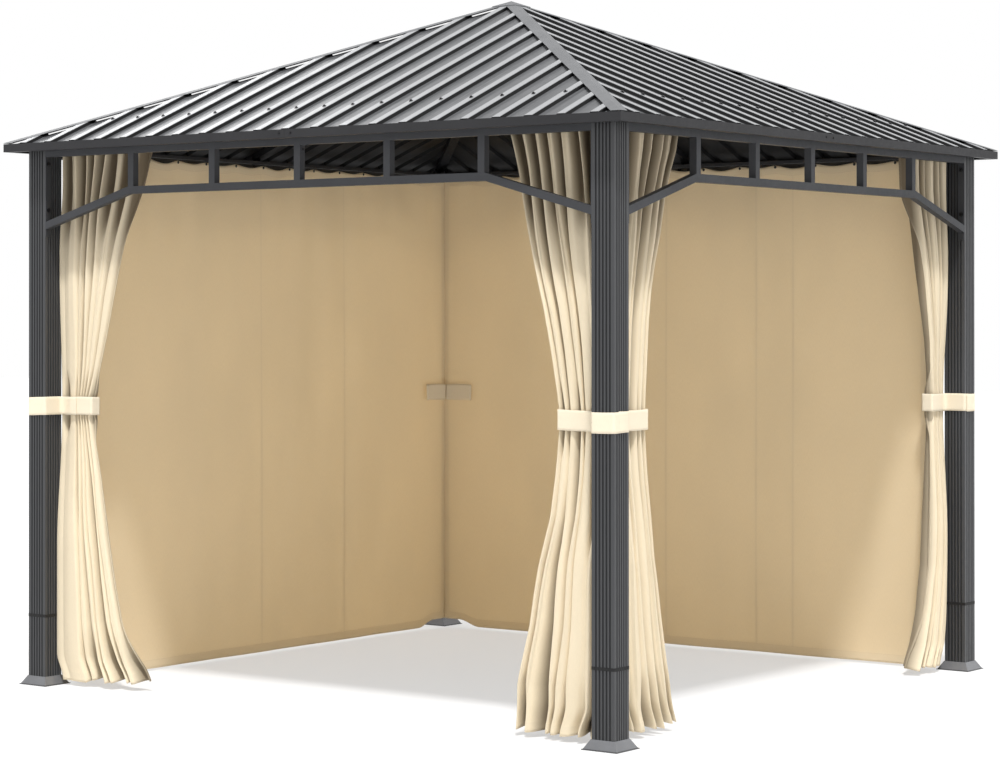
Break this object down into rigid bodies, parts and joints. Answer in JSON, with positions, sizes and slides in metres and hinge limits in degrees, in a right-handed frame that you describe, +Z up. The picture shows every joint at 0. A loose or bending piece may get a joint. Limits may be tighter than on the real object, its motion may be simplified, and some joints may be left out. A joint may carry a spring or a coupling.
{
  "type": "metal garden gazebo with curtains",
  "caption": "Square hardtop garden gazebo: fluted posts, arched trusses and a ribbed hip roof, with curtains drawn closed on two sides and tied back on the others.",
  "frame": {"origin": "on the ground at the centre of the plan", "axes": "+Z up, -Y the open front, +X the open right side; the closed curtains are at the back and on the left"},
  "size_m": [3, 3, 2.8396],
  "materials": {
    "post_metal": "satin anthracite powder coat on fluted aluminium",
    "cover_metal": "satin anthracite powder coat",
    "joint_plastic": "matt black",
    "truss_metal": "satin anthracite powder coat on steel tube",
    "fascia_metal": "satin anthracite powder coat",
    "roof_sheet_metal": "satin grey coated ribbed steel sheet",
    "roof_cap_metal": "satin light grey coated steel",
    "rail_metal": "satin dark grey",
    "curtain_cloth": "plain woven polyester, sand beige",
    "tie_cloth": "plain woven polyester, sand beige"
  },
  "bodies": {
    "root": {"back_braces": "truss_metal", "back_curtain": "curtain_cloth", "back_fascia": "fascia_metal", "back_lower_rail": "truss_metal", "back_right_tie": "tie_cloth", "back_roof_sheet": "roof_sheet_metal", "back_top_beam": "truss_metal", "back_uprights": "truss_metal", "base_cover_back_left": "cover_metal", "base_cover_back_right": "cover_metal", "base_cover_front_left": "cover_metal", "base_cover_front_right": "cover_metal", "curtain_rails": "rail_metal", "fascia_joints": "fascia_metal", "front_braces": "truss_metal", "front_fascia": "fascia_metal", "front_left_bundle": "curtain_cloth", "front_left_tie": "tie_cloth", "front_lower_rail": "truss_metal", "front_right_bundle": "curtain_cloth", "front_right_tie": "tie_cloth", "front_roof_sheet": "roof_sheet_metal", "front_top_beam": "truss_metal", "front_uprights": "truss_metal", "hip_caps": "roof_cap_metal", "hip_rafters": "truss_metal", "left_braces": "truss_metal", "left_curtain": "curtain_cloth", "left_fascia": "fascia_metal", "left_lower_rail": "truss_metal", "left_roof_sheet": "roof_sheet_metal", "left_top_beam": "truss_metal", "left_uprights": "truss_metal", "mid_rafters": "truss_metal", "peak_cap": "roof_cap_metal", "peak_hub": "truss_metal", "post_back_left": "post_metal", "post_back_right": "post_metal", "post_cap_plates": "truss_metal", "post_foot_back_left": "post_metal", "post_foot_back_right": "post_metal", "post_foot_front_left": "post_metal", "post_foot_front_right": "post_metal", "post_front_left": "post_metal", "post_front_right": "post_metal", "post_splices": "joint_plastic", "purlins": "truss_metal", "rafter_saddles": "truss_metal", "right_back_bundle": "curtain_cloth", "right_braces": "truss_metal", "right_fascia": "fascia_metal", "right_front_bundle": "curtain_cloth", "right_lower_rail": "truss_metal", "right_roof_sheet": "roof_sheet_metal", "right_top_beam": "truss_metal", "right_uprights": "truss_metal", "tie_loops": "tie_cloth", "truss_joints": "truss_metal"}
  },
  "joints": []
}
